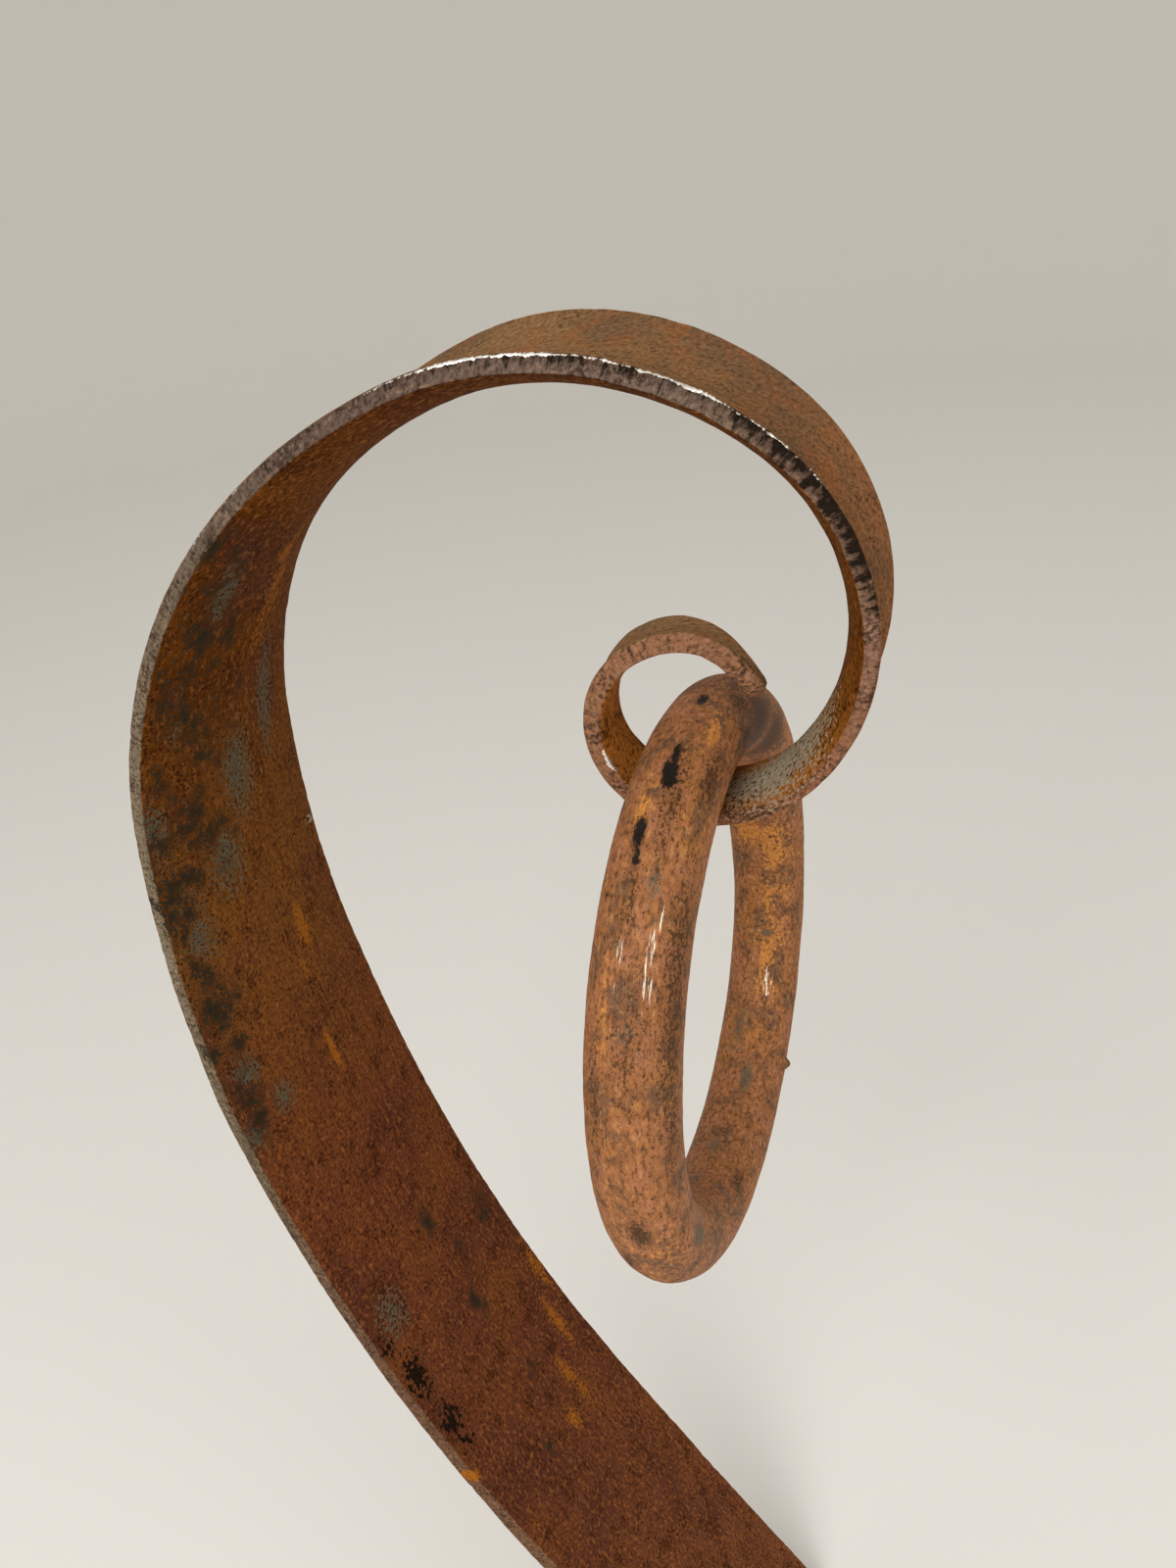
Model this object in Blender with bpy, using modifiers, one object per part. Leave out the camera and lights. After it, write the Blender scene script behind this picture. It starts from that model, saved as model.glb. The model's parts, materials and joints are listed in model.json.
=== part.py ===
"""Scrolled strap eye with a loose ring.

A tapering steel strap rises from a flat-cut foot, bends over in a large scroll and ends in a small
rolled eye. A closed round-bar ring hangs in that eye and swings in it. The strap's section is crowned:
its middle stands in towards the scroll and its two edges flare outwards, like a shallow gutter.

Metres, +Z up. The origin is the middle of the foot's flat face, X runs across the scroll, and the
scroll is symmetric about the plane Y = 0.
"""

import math
from typing import NamedTuple

import bmesh
import bpy
import numpy as np
from mathutils import Vector

MM = 0.001


class Stretch(NamedTuple):
    """One arc of the strap's edge line, in mm and degrees, with the section at its start."""

    radius: float
    turn: float
    width: float
    thickness: float
    crown: float


# Strap: arcs from the foot to the tip, each turning to the right; the lean is from +X, and the cut
# foot starts a little below the origin
FOOT_LEAN = 122.8
FOOT_RUN = Stretch(radius=3000.0, turn=2.6, width=72.0, thickness=6.0, crown=0.0)
LOWER_LEG = Stretch(radius=525.0, turn=20.3, width=72.0, thickness=5.8, crown=0.0)
UPPER_LEG = Stretch(radius=303.0, turn=16.2, width=71.0, thickness=4.6, crown=3.6)
SHOULDER = Stretch(radius=112.5, turn=65.4, width=64.0, thickness=4.0, crown=5.0)
SCROLL_TOP = Stretch(radius=68.5, turn=56.6, width=48.0, thickness=3.3, crown=5.0)
SCROLL_SIDE = Stretch(radius=48.0, turn=90.5, width=35.0, thickness=3.3, crown=4.6)
EYE_ENTRY = Stretch(radius=33.9, turn=56.8, width=23.0, thickness=3.6, crown=3.4)
EYE = Stretch(radius=18.9, turn=166.7, width=18.0, thickness=4.0, crown=0.8)
EYE_TOP = Stretch(radius=13.7, turn=55.3, width=10.5, thickness=4.2, crown=0.4)
EYE_TIP = Stretch(radius=47.0, turn=12.1, width=6.0, thickness=4.2, crown=0.2)
TIP_END = Stretch(radius=47.0, turn=0.0, width=3.6, thickness=4.2, crown=0.2)
SCROLL = (SHOULDER, SCROLL_TOP, SCROLL_SIDE, EYE_ENTRY, EYE, EYE_TOP, EYE_TIP)
STRETCHES = (FOOT_RUN, LOWER_LEG, UPPER_LEG) + SCROLL
EDGE_ROUND = 0.5
EDGE_ANGLE = 50.0
FOOT_OVERLAP = 8.0

# Ring: 3/4 inch round bar bent to a hole of about 4 inches, hanging a little turned about Z
RING_BAR = 19.0
RING_HOLE = 100.0
SEAT_GAP = 0.3
RING_TWIST = -2.6

# Finishes: colour and roughness of the rust on each piece
STRAP_COLOUR = (0.118, 0.042, 0.024)
STRAP_ROUGHNESS = 0.75
RING_COLOUR = (0.305, 0.130, 0.060)
RING_ROUGHNESS = 0.65
RUST_METALLIC = 0.3

# Mesh fineness
STEP_TURN = 8.0
STEP_LENGTH = 14.0
ACROSS_STEPS = 6
RING_STEPS = 72
BAR_STEPS = 18


def start_object_list() -> None:
    """Empty the scene."""
    for item in list(bpy.data.objects):
        bpy.data.objects.remove(item, do_unlink=True)


def make_collection(name: str) -> bpy.types.Collection:
    """Return a new collection linked to the scene."""
    collection = bpy.data.collections.new(name)
    bpy.context.scene.collection.children.link(collection)
    return collection


def move_to(item: bpy.types.Object, collection: bpy.types.Collection) -> None:
    """Keep an object in one collection only."""
    for old in list(item.users_collection):
        old.objects.unlink(item)
    collection.objects.link(item)


def rusted_steel(name: str, colour: tuple[float, float, float], roughness: float) -> bpy.types.Material:
    """Return a Principled material for rusted steel."""
    material = bpy.data.materials.new(name)
    material.use_nodes = True
    shader = material.node_tree.nodes["Principled BSDF"]
    shader.inputs["Base Color"].default_value = (*colour, 1.0)
    shader.inputs["Roughness"].default_value = roughness
    shader.inputs["Metallic"].default_value = RUST_METALLIC
    return material


def arc_length(stretch: Stretch) -> float:
    """Return a stretch's length in mm."""
    return stretch.radius * math.radians(stretch.turn)


def walk(distance: float) -> tuple[float, float, float]:
    """Return x and z in mm and the heading in radians at a distance along the edge line."""
    x, z, heading = 0.0, 0.0, math.radians(FOOT_LEAN)
    for stretch in STRETCHES:
        run = min(distance, arc_length(stretch))
        turn = run / stretch.radius
        x += stretch.radius * (math.sin(heading) - math.sin(heading - turn))
        z += stretch.radius * (math.cos(heading - turn) - math.cos(heading))
        heading -= turn
        distance -= run
        if distance <= 0.0:
            break
    return x, z, heading


def station_distances() -> list[float]:
    """Return distances along the strap, closer together where it bends more."""
    distances = [-FOOT_OVERLAP]
    start = 0.0
    for stretch in STRETCHES:
        length = arc_length(stretch)
        count = max(math.ceil(stretch.turn / STEP_TURN), math.ceil(length / STEP_LENGTH))
        distances += [start + length * step / count for step in range(count)]
        start += length
    return distances + [start]


def section_at(distance: float) -> tuple[float, float, float]:
    """Return the strap's width, thickness and crown in mm at a distance along it."""
    marks = np.concatenate(([0.0], np.cumsum([arc_length(stretch) for stretch in STRETCHES])))
    rows = STRETCHES + (TIP_END,)
    width = np.interp(distance, marks, [row.width for row in rows])
    thickness = np.interp(distance, marks, [row.thickness for row in rows])
    crown = np.interp(distance, marks, [row.crown for row in rows])
    return float(width), float(thickness), float(crown)


def strap_point(distance: float, across: float) -> Vector:
    """Return a point of the strap's middle surface; across runs from -1 to 1."""
    x, z, heading = walk(distance)
    width, _, crown = section_at(distance)
    inward = crown * (1.0 - across * across)
    x += inward * math.sin(heading)
    z -= inward * math.cos(heading)
    return Vector((x, across * width / 2.0, z)) * MM


def seat_distance() -> float:
    """Return the distance along the strap to the eye's lowest point, where it runs level towards -X."""
    turn_left = FOOT_LEAN + 180.0
    distance = 0.0
    for stretch in STRETCHES:
        turn = min(turn_left, stretch.turn)
        distance += stretch.radius * math.radians(turn)
        turn_left -= turn
    return distance


def bar_seat() -> Vector:
    """Return the middle of the ring's bar where it rests on the bottom of the eye.

    The bar touches the strap's crown, or its two edges where the ring's own curve falls faster.
    """
    distance = seat_distance()
    x, z, _ = walk(distance)
    width, thickness, crown = section_at(distance)
    hole_radius = RING_HOLE / 2.0
    fall = hole_radius - math.sqrt(hole_radius**2 - (width / 2.0) ** 2)
    lift = max(crown, fall) + thickness / 2.0 + SEAT_GAP + RING_BAR / 2.0
    return Vector((x, 0.0, z + lift)) * MM


def foot_cutter(collection: bpy.types.Collection) -> bpy.types.Object:
    """Return a block whose top face cuts the strap's foot level."""
    side = 2.0 * FOOT_RUN.width * MM
    bpy.ops.mesh.primitive_cube_add(size=side, location=(0.0, 0.0, -side / 2.0))
    cutter = bpy.context.object
    cutter.name = "foot_cutter"
    cutter.hide_render = True
    cutter.display_type = "WIRE"
    move_to(cutter, collection)
    return cutter


def build_strap(collection: bpy.types.Collection, cutters: bpy.types.Collection) -> bpy.types.Object:
    """Bend a grid into the crowned scroll, give it thickness and cut its foot level."""
    distances = station_distances()
    mesh = bpy.data.meshes.new("strap")
    grid = bmesh.new()
    bmesh.ops.create_grid(grid, x_segments=len(distances) - 1, y_segments=ACROSS_STEPS, size=1.0)
    half = max(vert.co.x for vert in grid.verts)
    weights = []
    thickest = FOOT_RUN.thickness
    for vert in grid.verts:
        row = round((vert.co.x / half + 1.0) / 2.0 * (len(distances) - 1))
        across = vert.co.y / half
        vert.co = strap_point(distances[row], across)
        weights.append(section_at(distances[row])[1] / thickest)
    bmesh.ops.recalc_face_normals(grid, faces=grid.faces)
    grid.to_mesh(mesh)
    grid.free()

    strap = bpy.data.objects.new("strap", mesh)
    collection.objects.link(strap)
    gauge = strap.vertex_groups.new(name="gauge")
    for index, weight in enumerate(weights):
        gauge.add([index], weight, "REPLACE")
    plate = strap.modifiers.new("plate", "SOLIDIFY")
    plate.thickness = thickest * MM
    plate.offset = 0.0
    plate.use_even_offset = True
    plate.vertex_group = gauge.name
    trim = strap.modifiers.new("foot", "BOOLEAN")
    trim.operation = "DIFFERENCE"
    trim.solver = "EXACT"
    trim.object = foot_cutter(cutters)
    edges = strap.modifiers.new("edges", "BEVEL")
    edges.width = EDGE_ROUND * MM
    edges.segments = 1
    edges.limit_method = "ANGLE"
    edges.angle_limit = math.radians(EDGE_ANGLE)
    mesh.materials.append(rusted_steel("strap_rusted_plate", STRAP_COLOUR, STRAP_ROUGHNESS))
    return strap


def build_ring(collection: bpy.types.Collection) -> bpy.types.Object:
    """Hang the ring in the eye, on a pivot in the middle of the bar that rests there."""
    pivot = bpy.data.objects.new("ring_pivot", None)
    pivot.location = bar_seat()
    pivot.rotation_euler.z = math.radians(RING_TWIST)
    collection.objects.link(pivot)
    ring_radius = (RING_HOLE + RING_BAR) / 2.0 * MM
    bpy.ops.mesh.primitive_torus_add(
        major_segments=RING_STEPS,
        minor_segments=BAR_STEPS,
        major_radius=ring_radius,
        minor_radius=RING_BAR / 2.0 * MM,
        rotation=(0.0, math.pi / 2.0, 0.0),
    )
    ring = bpy.context.object
    ring.name = "ring"
    move_to(ring, collection)
    ring.parent = pivot
    ring.location = (0.0, 0.0, -ring_radius)
    ring.data.shade_smooth()
    ring.data.materials.append(rusted_steel("ring_rusted_bar", RING_COLOUR, RING_ROUGHNESS))
    return ring


def main() -> None:
    """Build the strap and its ring."""
    start_object_list()
    parts = make_collection("scrolled_strap_eye")
    cutters = make_collection("cutters")
    build_strap(parts, cutters)
    build_ring(parts)


main()
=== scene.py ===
"""Looks of a scrolled strap eye and of the ring that hangs in it.

Both pieces are weathered mild steel. The strap is flame-cut from plate and bent hot, so its faces are rust
over mill scale and its cut edges are lined across their thickness. The ring is round bar.
"""

import json
import logging
import math
from dataclasses import dataclass
from enum import Enum
from itertools import product

import bmesh
import bpy
import numpy as np
from mathutils import Matrix, Vector, noise
from mathutils.bvhtree import BVHTree


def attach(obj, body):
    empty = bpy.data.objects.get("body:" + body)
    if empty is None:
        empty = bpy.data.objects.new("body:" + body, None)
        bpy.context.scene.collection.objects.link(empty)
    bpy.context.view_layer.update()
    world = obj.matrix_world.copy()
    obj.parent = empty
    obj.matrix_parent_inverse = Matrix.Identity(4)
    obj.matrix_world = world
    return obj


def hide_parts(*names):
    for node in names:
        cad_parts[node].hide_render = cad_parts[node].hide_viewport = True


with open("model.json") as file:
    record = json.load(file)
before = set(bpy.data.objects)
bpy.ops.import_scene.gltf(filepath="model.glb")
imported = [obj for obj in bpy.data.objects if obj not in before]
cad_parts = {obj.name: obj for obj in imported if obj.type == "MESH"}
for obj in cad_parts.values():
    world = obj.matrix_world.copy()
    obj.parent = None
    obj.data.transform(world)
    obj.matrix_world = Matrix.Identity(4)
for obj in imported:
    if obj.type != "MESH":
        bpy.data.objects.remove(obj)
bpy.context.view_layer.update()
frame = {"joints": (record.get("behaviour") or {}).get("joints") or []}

LOG = logging.getLogger("strap_eye")
MM = 0.001

# Points closer together than this are welded
WELD = 0.005 * MM

# Sockets of a mix node: the colour form's two inputs and result, and the number form's two inputs
MIX_A = 6
MIX_B = 7
MIX_RESULT = 2
NUMBER_A = 2
NUMBER_B = 3

# What makes a mix node mix colours
COLOUR_MIX = {"out": MIX_RESULT, "data_type": "RGBA"}

# What noise is on average
NOISE_MIDDLE = 0.5

Pixel = tuple[float, float]
Socket = bpy.types.NodeSocket
Tones = tuple[tuple[float, str], ...]


def linear(hex_colour: str) -> tuple[float, float, float, float]:
    """Turn an sRGB hex colour into a linear one.

    Args:
        hex_colour: A colour such as "#A06B45".

    Returns:
        Linear red, green and blue, and an alpha of 1.
    """
    channels = [int(hex_colour[start : start + 2], 16) / 255.0 for start in (1, 3, 5)]
    curve = [c / 12.92 if c <= 0.04045 else ((c + 0.055) / 1.055) ** 2.4 for c in channels]
    return curve[0], curve[1], curve[2], 1.0


def add_node(
    tree: bpy.types.NodeTree,
    kind: str,
    inputs: dict[str | int, object],
    out: int | str = 0,
    stops: Tones = (),
    **settings: object,
) -> Socket | None:
    """Add a node, set it, and link or set its inputs.

    Args:
        tree: The material's node tree.
        kind: The node's type name.
        inputs: A socket or a plain value for each input, by name or number.
        out: The output to return.
        stops: Places and sRGB hex colours, for a node that has a colour ramp.
        **settings: Values of the node's own properties.

    Returns:
        The chosen output, or None on a node that has none.
    """
    node = tree.nodes.new(kind)
    for name, value in settings.items():
        setattr(node, name, value)
    for key, value in inputs.items():
        if isinstance(value, Socket):
            tree.links.new(value, node.inputs[key])
        else:
            node.inputs[key].default_value = value
    for index, (place, hex_colour) in enumerate(stops):
        elements = node.color_ramp.elements
        element = elements[index] if index < len(elements) else elements.new(place)
        element.position = place
        element.color = linear(hex_colour)
    return node.outputs[out] if len(node.outputs) else None


def wobble(x: float, y: float, z: float = 0.0) -> float:
    """Return smooth noise between about -1 and 1 at a place."""
    return noise.noise(Vector((x, y, z)))


class Pattern(Enum):
    """The noise that rust is drawn with."""

    GRAIN = "single grains"
    FLECK = "flakes a little longer than wide"
    CLUSTER = "grains gathered in patches"
    CLOUD = "slow changes of tone"
    STREAK = "lines along the steel"
    FLAME = "lines across a cut edge"
    SPECK = "grains that gather in patches, from grain and cluster together"


class Stain(Enum):
    """What a mark on the rust is, some kinds also carrying painted shadow, reflection and highlights; the
    value is its vertex attribute.
    """

    OCHRE_AND_REFLECTION = "ochre_bloom_and_reflection"
    SCALE = "grey_scale"
    SOOT_AND_SHADE = "dark_speckle_and_shade"
    CRUST = "black_crust"
    WORN = "worn_grey"
    BARE_AND_HIGHLIGHT = "bare_metal_and_highlight"


@dataclass(frozen=True)
class Mark:
    """One mark, placed where the photograph shows it, with its real half length and half width in mm."""

    stain: Stain
    pixel: Pixel
    length: float
    width: float
    strength: float = 1.0


@dataclass(frozen=True)
class Bead:
    """A bead of spatter or a flake that stands on the surface, in mm."""

    pixel: Pixel
    height: float
    radius: float


@dataclass(frozen=True)
class PhotoCamera:
    """The photograph's camera in the part's frame, in mm, degrees and pixels."""

    place: tuple[float, float, float] = (40.8, -216.9, 509.1)
    yaw: float = 20.65
    pitch: float = 29.17
    roll: float = 7.23
    focal: float = 1230.0
    picture: tuple[int, int] = (1200, 1600)
    sensor: float = 36.0
    nearest: float = 10.0

    def turn(self) -> Matrix:
        """Work out how the camera is turned.

        Returns:
            Its rotation in the part's frame.
        """
        heading = Matrix.Rotation(math.radians(self.yaw), 3, "Z")
        tilt = Matrix.Rotation(math.radians(90.0 - self.pitch), 3, "X")
        lean = Matrix.Rotation(-math.radians(self.roll), 3, "Z")
        return heading @ tilt @ lean

    def ray(self, pixel: Pixel) -> tuple[Vector, Vector]:
        """Find the line of sight through a pixel.

        Args:
            pixel: Column and row in the photograph's frame.

        Returns:
            Its start in metres and its unit direction.
        """
        across = pixel[0] - self.picture[0] / 2.0
        down = pixel[1] - self.picture[1] / 2.0
        direction = self.turn() @ Vector((across, -down, -self.focal))
        return Vector(self.place) * MM, direction.normalized()

    def build(self) -> None:
        """Make the camera and set it as the scene's."""
        data = bpy.data.cameras.new("photo_camera")
        data.sensor_fit = "AUTO"
        data.sensor_width = self.sensor
        data.lens = self.focal / max(self.picture) * self.sensor
        data.clip_start = self.nearest * MM
        camera = bpy.data.objects.new("photo_camera", data)
        camera.matrix_world = Matrix.Translation(Vector(self.place) * MM) @ self.turn().to_4x4()
        bpy.context.scene.collection.objects.link(camera)
        bpy.context.scene.camera = camera


@dataclass(frozen=True)
class Speckle:
    """The grain of one pattern along and across the steel in mm, and its fineness."""

    pattern: Pattern
    along: float
    across: float
    detail: float = 3.0
    rough: float = 0.6
    start: float = 0.0
    solid: bool = False


@dataclass(frozen=True)
class Coat:
    """One colour laid on where a pattern rises, or falls, from start to full."""

    paint: str
    pattern: Pattern
    start: float
    full: float
    most: float


@dataclass(frozen=True)
class Paint:
    """The colour of one kind of mark, the pattern that tears it, and how soft that tearing is."""

    stain: Stain
    colour: str
    tear: Pattern = Pattern.SPECK
    soft: float = 0.14


@dataclass(frozen=True)
class Rust:
    """A rusted steel surface: a ground tone, coats of speckle over it, and marks painted one by one.

    A mark's edge is torn by noise: ragged is how far, mark_gain how soon a faint mark is torn in full, and
    mark_edge where its colour starts and is full. Each span of grain noise goes with the shades or the
    roughness that it gives.
    """

    name: str
    speckles: tuple[Speckle, ...]
    coats: tuple[Coat, ...]
    stains: tuple[Paint, ...]
    cluster_share: float = 0.45
    ragged: float = 1.0
    mark_gain: float = 8.0
    mark_edge: tuple[float, float] = (0.38, 0.62)
    shade_span: tuple[float, float] = (0.3, 0.7)
    grain_shade: tuple[float, float] = (0.55, 1.5)
    matt_span: tuple[float, float] = (0.35, 0.7)
    matt: tuple[float, float] = (0.92, 0.6)
    bare_roughness: float = 0.3
    sheen_level: float = 0.02
    relief: float = 0.2

    def patterns(self, tree: bpy.types.NodeTree) -> dict[Pattern, Socket]:
        """Add the noise that the coats read.

        Args:
            tree: The material's node tree.

        Returns:
            The value of each pattern, about 0.5 on average.
        """
        solid = add_node(tree, "ShaderNodeTexCoord", {}, out="Object")
        sheet = add_node(tree, "ShaderNodeUVMap", {}, uv_map="sheet")
        found = {}
        for speckle in self.speckles:
            size = (speckle.along * MM, speckle.across * MM, speckle.across * MM)
            place = add_node(
                tree,
                "ShaderNodeMapping",
                {
                    "Vector": solid if speckle.solid else sheet,
                    "Scale": tuple(1.0 / length for length in size),
                    "Location": (speckle.start, speckle.start, 0.0),
                },
            )
            found[speckle.pattern] = add_node(
                tree,
                "ShaderNodeTexNoise",
                {"Vector": place, "Scale": 1.0, "Detail": speckle.detail, "Roughness": speckle.rough},
            )
        found[Pattern.SPECK] = add_node(
            tree,
            "ShaderNodeMix",
            {0: self.cluster_share, NUMBER_A: found[Pattern.GRAIN], NUMBER_B: found[Pattern.CLUSTER]},
            data_type="FLOAT",
        )
        return found

    def lay_coats(
        self,
        tree: bpy.types.NodeTree,
        patterns: dict[Pattern, Socket],
        ground: Socket | tuple[float, ...],
        coats: tuple[Coat, ...],
    ) -> Socket:
        """Lay coats of speckle over a ground.

        Args:
            tree: The material's node tree.
            patterns: The noise.
            ground: The colour below.
            coats: The coats in order.

        Returns:
            The colour on top.
        """
        colour = ground
        for coat in coats:
            amount = add_node(
                tree,
                "ShaderNodeMapRange",
                {
                    "Value": patterns[coat.pattern],
                    "From Min": coat.start,
                    "From Max": coat.full,
                    "To Max": coat.most,
                },
            )
            layer = {0: amount, MIX_A: colour, MIX_B: linear(coat.paint)}
            colour = add_node(tree, "ShaderNodeMix", layer, **COLOUR_MIX)
        return colour

    def lay_stains(
        self, tree: bpy.types.NodeTree, patterns: dict[Pattern, Socket], ground: Socket
    ) -> tuple[Socket, Socket | float]:
        """Lay the painted marks over a ground, with ragged edges.

        Args:
            tree: The material's node tree.
            patterns: The noise.
            ground: The colour below.

        Returns:
            The colour on top, and how bare the steel is under the bare-metal marks, which are partly
            painted highlights.
        """
        colour = ground
        bare = 0.0
        for paint in self.stains:
            torn = add_node(
                tree,
                "ShaderNodeMapRange",
                {
                    "Value": patterns[paint.tear],
                    "From Min": NOISE_MIDDLE - paint.soft,
                    "From Max": NOISE_MIDDLE + paint.soft,
                    "To Min": -self.ragged / 2.0,
                    "To Max": self.ragged / 2.0,
                },
            )
            painted = add_node(tree, "ShaderNodeAttribute", {}, out="Fac", attribute_name=paint.stain.value)
            kept = add_node(
                tree,
                "ShaderNodeMath",
                {0: painted, 1: self.mark_gain},
                operation="MULTIPLY",
                use_clamp=True,
            )
            edged = add_node(
                tree, "ShaderNodeMath", {0: torn, 1: kept, 2: painted}, operation="MULTIPLY_ADD"
            )
            start, full = self.mark_edge
            amount = add_node(
                tree, "ShaderNodeMapRange", {"Value": edged, "From Min": start, "From Max": full}
            )
            layer = {0: amount, MIX_A: colour, MIX_B: linear(paint.colour)}
            colour = add_node(tree, "ShaderNodeMix", layer, **COLOUR_MIX)
            if paint.stain is Stain.BARE_AND_HIGHLIGHT:
                bare = amount
        return colour, bare

    def ground(self, tree: bpy.types.NodeTree, patterns: dict[Pattern, Socket]) -> Socket:
        """Return the rust's colour under its marks; each steel has its own."""
        raise NotImplementedError

    def material(self) -> bpy.types.Material:
        """Build the node material.

        Returns:
            The material, which reads the piece's own map and vertex attributes.
        """
        material = bpy.data.materials.new(self.name)
        material.use_nodes = True
        tree = material.node_tree
        tree.nodes.clear()
        patterns = self.patterns(tree)
        colour, bare = self.lay_stains(tree, patterns, self.ground(tree, patterns))
        shade, matt = (
            add_node(
                tree,
                "ShaderNodeMapRange",
                {
                    "Value": patterns[Pattern.GRAIN],
                    "From Min": span[0],
                    "From Max": span[1],
                    "To Min": levels[0],
                    "To Max": levels[1],
                },
            )
            for span, levels in ((self.shade_span, self.grain_shade), (self.matt_span, self.matt))
        )
        shaded = {0: 1.0, MIX_A: colour, MIX_B: shade}
        colour = add_node(tree, "ShaderNodeMix", shaded, blend_type="MULTIPLY", **COLOUR_MIX)
        rough = add_node(
            tree,
            "ShaderNodeMix",
            {0: bare, NUMBER_A: matt, NUMBER_B: self.bare_roughness},
            data_type="FLOAT",
        )
        bump = add_node(
            tree,
            "ShaderNodeBump",
            {"Height": patterns[Pattern.SPECK], "Distance": self.relief * MM, "Strength": 1.0},
        )
        shader = add_node(
            tree,
            "ShaderNodeBsdfPrincipled",
            {
                "Base Color": colour,
                "Roughness": rough,
                "Metallic": bare,
                "Specular IOR Level": self.sheen_level,
                "Normal": bump,
            },
        )
        add_node(tree, "ShaderNodeOutputMaterial", {"Surface": shader})
        return material


@dataclass(frozen=True)
class PlateRust(Rust):
    """Hot-rolled mild steel plate, flame-cut, bent hot and left to rust.

    The faces are a matt red-brown crust of fine grains over grey mill scale. The cut edges keep the lines
    of the flame across their thickness, burnt black towards the outside and bright along the outer corner,
    where the burr is painted pale as bare metal, partly a painted highlight. Char lies where a sum passes
    char_span: the flame's noise, char_outside on the outer side, and char_lift times the place's char tone.
    It fades out below a tone of one part in char_gain.
    """

    name: str = "rusted_hot_rolled_plate"
    speckles: tuple[Speckle, ...] = (
        Speckle(Pattern.GRAIN, 1.0, 1.0, detail=3.0, rough=0.7),
        Speckle(Pattern.FLECK, 2.2, 1.5, detail=2.0, start=3.7),
        Speckle(Pattern.CLUSTER, 7.0, 7.0, solid=True),
        Speckle(Pattern.CLOUD, 26.0, 26.0, solid=True),
        Speckle(Pattern.STREAK, 26.0, 1.8),
        Speckle(Pattern.FLAME, 1.6, 5.0, detail=4.0, rough=0.68, start=1.9),
    )
    coats: tuple[Coat, ...] = (
        Coat("#78481C", Pattern.CLOUD, 0.5, 0.68, 0.4),
        Coat("#4C2A20", Pattern.CLOUD, 0.5, 0.34, 0.6),
        Coat("#44220E", Pattern.CLUSTER, 0.47, 0.33, 0.5),
        Coat("#4A2610", Pattern.STREAK, 0.48, 0.34, 0.45),
        Coat("#8E5428", Pattern.FLECK, 0.51, 0.66, 0.65),
        Coat("#2C150A", Pattern.SPECK, 0.465, 0.385, 0.55),
        Coat("#2A140A", Pattern.GRAIN, 0.45, 0.37, 0.5),
        Coat("#A0805C", Pattern.FLECK, 0.72, 0.78, 0.6),
    )
    outer_coats: tuple[Coat, ...] = (
        Coat("#5C4836", Pattern.CLOUD, 0.5, 0.36, 0.6),
        Coat("#57412C", Pattern.STREAK, 0.5, 0.34, 0.42),
        Coat("#8A5029", Pattern.CLUSTER, 0.5, 0.66, 0.4),
        Coat("#8E5632", Pattern.FLECK, 0.56, 0.72, 0.25),
        Coat("#9A7A56", Pattern.STREAK, 0.6, 0.74, 0.3),
        Coat("#3C2C20", Pattern.SPECK, 0.45, 0.37, 0.5),
    )
    edge_coats: tuple[Coat, ...] = (
        Coat("#46352A", Pattern.FLAME, 0.5, 0.38, 0.75),
        Coat("#93785F", Pattern.FLECK, 0.55, 0.68, 0.45),
        Coat("#423026", Pattern.SPECK, 0.49, 0.41, 0.75),
    )
    stains: tuple[Paint, ...] = (
        # Ochre bloom, also used as a painted warm reflection on the upper leg
        Paint(Stain.OCHRE_AND_REFLECTION, "#96591C", Pattern.SPECK, 0.36),
        Paint(Stain.SCALE, "#565242", Pattern.GRAIN, 0.1),
        Paint(Stain.SOOT_AND_SHADE, "#30281C", Pattern.SPECK, 0.09),
        Paint(Stain.CRUST, "#1C130A", Pattern.FLECK),
        Paint(Stain.WORN, "#8A7D67", Pattern.GRAIN, 0.13),
        # Pale bare metal, partly a painted highlight on the burr
        Paint(Stain.BARE_AND_HIGHLIGHT, "#E4DCD0"),
    )
    char: str = "#211913"
    char_outside: float = 0.16
    char_lift: float = 0.3
    char_span: tuple[float, float] = (0.75, 0.9)
    char_gain: float = 2.0
    # Inner face's tone along the strap: darker under the scroll's top (0.56 to 0.82) as painted shade, and
    # lighter in the eye (from 0.9) as painted light where the ring shades it
    inner_tones_and_shade: Tones = (
        (0.0, "#70442A"),
        (0.08, "#6C4028"),
        (0.22, "#603522"),
        (0.36, "#6A3922"),
        (0.47, "#74481E"),
        (0.56, "#5C3202"),
        (0.68, "#522A02"),
        (0.82, "#603606"),
        (0.9, "#B0702C"),
        (1.0, "#B07032"),
    )
    outer_tones: Tones = (
        (0.0, "#6C4029"),
        (0.35, "#70462E"),
        (0.52, "#745438"),
        (0.68, "#80603F"),
        (0.76, "#735134"),
        (0.82, "#805536"),
        (0.87, "#925E32"),
        (0.93, "#886644"),
        (1.0, "#886644"),
    )
    edge_tones: Tones = (
        (0.0, "#815C42"),
        (0.3, "#6A4D3A"),
        (0.4, "#6C5D49"),
        (0.49, "#867862"),
        (0.58, "#6E604F"),
        (0.66, "#5C4B42"),
        (0.74, "#6C5A4E"),
        (0.82, "#85634F"),
        (0.87, "#925E42"),
        (0.93, "#8A6045"),
        (1.0, "#8A6046"),
    )
    char_tones: Tones = (
        (0.0, "#000000"),
        (0.55, "#404040"),
        (0.65, "#A8A8A8"),
        (0.7, "#C4C4C4"),
        (0.75, "#D0D0D0"),
        (0.768, "#FFFFFF"),
        (0.8, "#FFFFFF"),
        (0.815, "#B4B4B4"),
        (0.85, "#808080"),
        (0.93, "#303030"),
    )

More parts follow.
